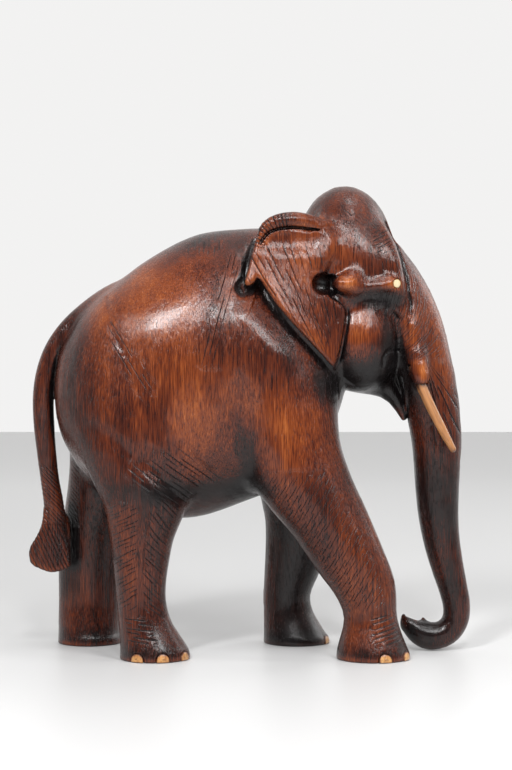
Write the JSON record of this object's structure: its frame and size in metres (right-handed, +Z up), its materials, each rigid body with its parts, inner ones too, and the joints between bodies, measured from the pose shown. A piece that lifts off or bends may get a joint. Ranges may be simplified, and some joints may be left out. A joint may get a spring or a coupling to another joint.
{
  "type": "elephant figurine",
  "caption": "Standing elephant figurine carved from one block of polished dark wood, in mid stride with its trunk lowered, with push-in pale tusks and inlaid eyes and toenails.",
  "frame": {"origin": "bottom centre of the bounding box: the four soles stand on z = 0", "axes": "+X is the way the elephant faces, +Y its left side, +Z up"},
  "size_m": [0.3773, 0.1518, 0.399],
  "materials": {
    "rosewood": "polished reddish-brown rosewood, upright dark grain, near-black in the carved hollows",
    "tusk_wood": "pale tan wood, fine grain, satin",
    "nail_wood": "pale wood inlay, worn, satin",
    "eye_bone": "cream bone inlay, polished"
  },
  "bodies": {
    "figure": {"carved_body": "rosewood", "right_eye": "eye_bone", "left_eye": "eye_bone", "right_rear_nail_1": "nail_wood", "right_rear_nail_2": "nail_wood", "right_rear_nail_3": "nail_wood", "left_rear_nail_1": "nail_wood", "left_rear_nail_2": "nail_wood", "left_rear_nail_3": "nail_wood", "right_front_nail_1": "nail_wood", "right_front_nail_2": "nail_wood", "right_front_nail_3": "nail_wood", "left_front_nail_1": "nail_wood", "left_front_nail_2": "nail_wood", "left_front_nail_3": "nail_wood"},
    "right_tusk_body": {"right_tusk": "tusk_wood"},
    "left_tusk_body": {"left_tusk": "tusk_wood"}
  },
  "joints": [
    {"name": "right_tusk_pull", "type": "slide", "parent": "figure", "child": "right_tusk_body", "axis": [0.4361, -0.1, -0.8943], "range_m": [0, 0.016]},
    {"name": "left_tusk_pull", "type": "slide", "parent": "figure", "child": "left_tusk_body", "axis": [0.4361, 0.1, -0.8943], "range_m": [0, 0.016]}
  ]
}
